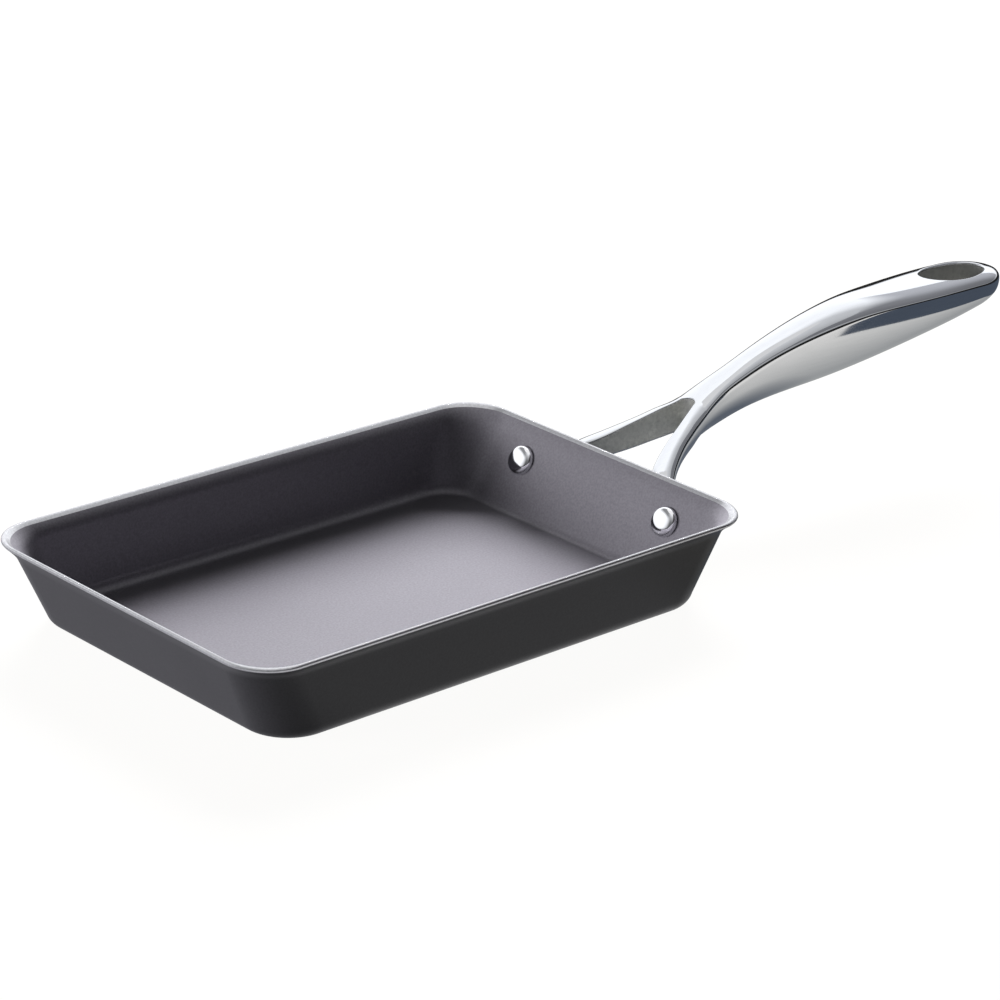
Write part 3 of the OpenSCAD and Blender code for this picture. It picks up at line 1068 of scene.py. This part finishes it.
def make_world():
    world = bpy.data.worlds.new("world")
    bpy.context.scene.world = world
    world.use_nodes = True
    tree = world.node_tree
    strength = ramp(tree, seen_by(tree), 0, 1, AMBIENT, 1.0)
    feed(tree, tree.nodes["Background"], {"Color": (1, 1, 1), "Strength": strength})


def stage_mesh(name, points, faces, material):
    mesh = bpy.data.meshes.new(name)
    mesh.from_pydata(points, [], faces)
    mesh.materials.append(material)
    mesh.update()
    obj = add_object(name, mesh)
    return obj


def stage_sheet(name, low, high, z, material):
    """A level rectangle between two opposite plan corners."""
    corners = [(low[0], low[1], z), (high[0], low[1], z), (high[0], high[1], z), (low[0], high[1], z)]
    return stage_mesh(name, corners, [(0, 1, 2, 3)], material)


def mirror_only(obj):
    """Show an object of the stage only in reflections."""
    for rays in ("camera", "diffuse", "transmission", "volume_scatter", "shadow"):
        setattr(obj, "visible_" + rays, False)


def bare_material(name):
    """A material with only its output node."""
    material, tree, shader = new_material(name)
    tree.nodes.remove(shader)
    return material, tree


def show(tree, made):
    feed(tree, tree.nodes["Material Output"], {"Surface": made.outputs[0]})


def glow_material(name, colour=(1, 1, 1)):
    """A material that glows evenly, and its emission node, whose colour may be linked."""
    material, tree = bare_material(name)
    glow = node(tree, "ShaderNodeEmission", {"Color": colour, "Strength": 1.0})
    show(tree, glow)
    return material, tree, glow


def make_card(name, colour, points, faces):
    """A plain card or cloth that shows only in reflections."""
    material, _, _ = glow_material(name, colour)
    mirror_only(stage_mesh(name, points, faces, material))


# The floor takes its white from its own glow, and a faint shadow on its diffuse part
FLOOR_HALF = 3.0
FLOOR_DIFFUSE = 0.03
FLOOR_GLOW = 0.96
FLOOR_COLOUR = (1.0, 0.995, 0.985)


def make_floor():
    material, tree = bare_material("floor")
    diffuse = node(tree, "ShaderNodeBsdfDiffuse", {"Color": (FLOOR_DIFFUSE,) * 3})
    strength = ramp(tree, seen_by(tree), 0, 1, 0.0, FLOOR_GLOW)
    glow = node(tree, "ShaderNodeEmission", {"Color": FLOOR_COLOUR, "Strength": strength})
    show(tree, node(tree, "ShaderNodeAddShader", {0: diffuse.outputs[0], 1: glow.outputs[0]}))
    stage_sheet("floor", (-FLOOR_HALF, -FLOOR_HALF), (FLOOR_HALF, FLOOR_HALF), 0, material)


# The studio round the table, as the steel shows it
HORIZON_R = 1.6
HORIZON_STEPS = 120
HORIZON_CENTRE = (0.12, 0.0, 0.045)
STUDIO_TINT = (0.96, 0.975, 1.0)
# Brightness over the elevation in degrees: the dark gap beyond the table, then the backdrop. It is
# bright behind the pan and low on the left, half as bright on the right, and dark round the camera.
STUDIO_BACK = [(-2.5, 0.02), (6.5, 0.02), (8, 1.3), (11, 1.6), (30, 1.6), (48, 1.5), (72, 1.6)]
STUDIO_RIGHT = [(-2.5, 0.02), (8.5, 0.02), (9.5, 0.45), (10, 0.5), (22, 0.55), (36, 0.62), (60, 0.9)]
STUDIO_FRONT = [(-2.5, 0.02), (6.5, 0.02), (7.5, 0.10), (14, 0.12), (30, 0.2), (50, 0.5), (72, 1.0)]
STUDIO_LEFT = [(-2.5, 0.02), (3.0, 0.02), (4.0, 1.0), (9, 1.3), (27, 1.3), (38, 0.3), (60, 0.3)]
# Azimuths in degrees, counted from +X, between which one side of the studio runs into the next
STUDIO_START = -215
STUDIO_TURNS = [
    (75, 105, STUDIO_BACK, STUDIO_LEFT),
    (-14, 30, STUDIO_RIGHT, STUDIO_BACK),
    (-110, -75, STUDIO_FRONT, STUDIO_RIGHT),
    (STUDIO_START, -165, STUDIO_LEFT, STUDIO_FRONT),
]


def studio_column(azimuth):
    """Rows of (elevation, brightness) at an azimuth."""
    for start, end, below, above in STUDIO_TURNS:
        if azimuth >= start:
            share = smooth((azimuth - start) / (end - start))
            return [(mix(b[0], a[0], share), mix(b[1], a[1], share)) for b, a in zip(below, above)]


def make_horizon():
    material, tree, glow = glow_material("studio")
    shade = node(tree, "ShaderNodeVertexColor", layer_name="shade")
    feed(tree, glow, {"Color": shade.outputs["Color"]})
    rows = len(STUDIO_BACK)
    points, faces, shades = [], [], []
    for k in range(HORIZON_STEPS):
        azimuth = STUDIO_START + 360 * k / HORIZON_STEPS
        a = radians(azimuth)
        for elevation, bright in studio_column(azimuth):
            e = radians(elevation)
            points.append((
                HORIZON_CENTRE[0] + HORIZON_R * cos(a) * cos(e),
                HORIZON_CENTRE[1] + HORIZON_R * sin(a) * cos(e),
                HORIZON_CENTRE[2] + HORIZON_R * sin(e),
            ))
            shades.extend([*(bright * c for c in STUDIO_TINT), 1.0])
        j = (k + 1) % HORIZON_STEPS
        for row in range(rows - 1):
            faces.append((k * rows + row, j * rows + row, j * rows + row + 1, k * rows + row + 1))
    wall = stage_mesh("studio_wall", points, faces, material)
    layer = wall.data.color_attributes.new("shade", "FLOAT_COLOR", "POINT")
    layer.data.foreach_set("color", shades)
    mirror_only(wall)


def plan_axes(tree):
    """The X and the Y of a flat object's own coordinates."""
    parts = node(tree, "ShaderNodeSeparateXYZ", {0: own_coordinates(tree)})
    return parts.outputs["X"], parts.outputs["Y"]


# The table top, as the steel shows it: pale, and dimmer towards the line of the handle, as painted shade
# of the handle
TABLE_HALF = 1.7
TABLE_Z = 0.0005
TABLE_PALE = (1.05, 1.03, 0.99)
TABLE_DIM = (0.46, 0.47, 0.47)
DIM_ASIDE = (0.015, 0.13)
# The handle's painted shadow on the table: where its two ends and its two sides fade
SHADE = (0.15, 0.17, 0.205)
SHADE_START_X = (0.07, 0.09)
SHADE_END_X = (0.19, 0.22)
SHADE_ASIDE = (0.05, 0.07)
# The table before that shade, and the part of it past the tray, with the fades into it
BY_TRAY = (0.95, 0.95, 0.96)
PAST_TRAY = (0.48, 0.48, 0.52)
PAST_TRAY_X = (-0.08, -0.05)
PAST_TRAY_Y = (-0.09, -0.05)


def make_table():
    material, tree, glow = glow_material("table_top")
    x, y = plan_axes(tree)
    aside = maths(tree, "ABSOLUTE", y)
    # Painted shade of the handle: dimmer along its line, and darkest in a patch under it
    colour = blend(tree, ramp(tree, aside, *DIM_ASIDE, 0, 1), TABLE_DIM, TABLE_PALE)
    before_shade = ramp(tree, x, *SHADE_START_X, 1, 0)
    after_shade = ramp(tree, x, *SHADE_END_X, 0, 1)
    beside_shade = ramp(tree, aside, *SHADE_ASIDE, 0, 1)
    lit = maths(tree, "MAXIMUM", maths(tree, "MAXIMUM", beside_shade, after_shade), before_shade)
    colour = blend(tree, lit, SHADE, colour)
    colour = blend(tree, before_shade, colour, BY_TRAY)
    past_x = ramp(tree, x, *PAST_TRAY_X, 1, 0)
    past_y = ramp(tree, y, *PAST_TRAY_Y, 0, 1)
    colour = blend(tree, maths(tree, "MULTIPLY", past_x, past_y), colour, PAST_TRAY)
    feed(tree, glow, {"Color": colour})
    low, high = (-TABLE_HALF, -TABLE_HALF), (TABLE_HALF, TABLE_HALF)
    mirror_only(stage_sheet("table_top", low, high, TABLE_Z, material))


# Outline of the blue-grey cloth beside the end of the handle: the near edge, then far away
CLOTH = [
    (0.275, -0.107), (1.24, -1.256), (1.6, -1.0), (1.6, 1.0), (0.42, 0.16), (0.35, 0.0), (0.327, -0.046),
]
CLOTH_Z = 0.001
CLOTH_COLOUR = (0.085, 0.105, 0.14)


def make_cloth():
    points = [(x, y, CLOTH_Z) for x, y in CLOTH]
    make_card("blue_cloth", CLOTH_COLOUR, points, [tuple(range(len(CLOTH)))])


# The dark end of the table: a ring from this radius out to just past the studio's wall
GAP_FROM = 0.5
GAP_TO = HORIZON_R + 0.1
GAP_Z = 0.0015
GAP_COLOUR = (0.02, 0.02, 0.02)


def make_gap():
    points, faces = [], []
    for k in range(HORIZON_STEPS):
        angle = radians(360 * k / HORIZON_STEPS)
        for radius in (GAP_FROM, GAP_TO):
            points.append((HORIZON_CENTRE[0] + radius * cos(angle), radius * sin(angle), GAP_Z))
        j = (k + 1) % HORIZON_STEPS
        faces.append((2 * k, 2 * k + 1, 2 * j + 1, 2 * j))
    make_card("dark_gap", GAP_COLOUR, points, faces)


# An upright dark card to the right of the tray, as the camera sees it: its distance from the
# origin, its near and far ends, its height and its colour
CARD_AWAY = 0.2
CARD_ENDS = (-0.35, 0.06)
CARD_H = 0.26
CARD_COLOUR = (0.06, 0.055, 0.06)


def make_dark_card():
    near, far = CARD_ENDS
    turn = sqrt(0.5)
    points = []
    for along, z in ((near, 0), (far, 0), (far, CARD_H), (near, CARD_H)):
        points.append(((CARD_AWAY + along) * turn, (along - CARD_AWAY) * turn, z))
    make_card("dark_card", CARD_COLOUR, points, [(0, 1, 2, 3)])


# A grey filter over the handle's tip, which dims what the polish shows there: two opposite corners,
# height, darkest colour, the share of Y that is added to X, and the fade over their sum
FILTER_LOW = (0.29, -0.35)
FILTER_HIGH = (0.8, 0.12)
FILTER_Z = 0.18
FILTER_COLOUR = (0.45, 0.45, 0.47)
FILTER_SLANT = -0.5
FILTER_FADE = (0.305, 0.34)


def make_filter():
    material, tree = bare_material("filter")
    x, y = plan_axes(tree)
    slant = maths(tree, "MULTIPLY_ADD", y, FILTER_SLANT, x)
    colour = blend(tree, ramp(tree, slant, *FILTER_FADE, 0, 1), (1.0, 1.0, 1.0), FILTER_COLOUR)
    show(tree, node(tree, "ShaderNodeBsdfTransparent", {"Color": colour}))
    mirror_only(stage_sheet("filter", FILTER_LOW, FILTER_HIGH, FILTER_Z, material))


# Each lamp's place, aim, size and power in watts
LAMPS = {
    "key": ((0.98, 0.92, 0.87), (0, 0, 0), (0.9, 0.6), 120),
    "fill": ((-1.4, 0.62, 0.32), (0, 0, 0.03), (0.8, 0.4), 37),
}


def make_lamps():
    """White lamps that the steel doesn't show."""
    for name, (place, aim, size, power) in LAMPS.items():
        data = bpy.data.lights.new(name, "AREA")
        data.shape = "RECTANGLE"
        data.size, data.size_y = size
        data.energy = power
        obj = add_object(name, data)
        obj.location = place
        obj.rotation_euler = (Vector(aim) - Vector(place)).to_track_quat("-Z", "Y").to_euler()
        obj.visible_glossy = False


make_pieces()
make_camera()
bpy.context.scene.view_settings.view_transform = "Standard"
make_world()
make_floor()
make_table()
make_horizon()
make_cloth()
make_gap()
make_dark_card()
make_filter()
make_lamps()
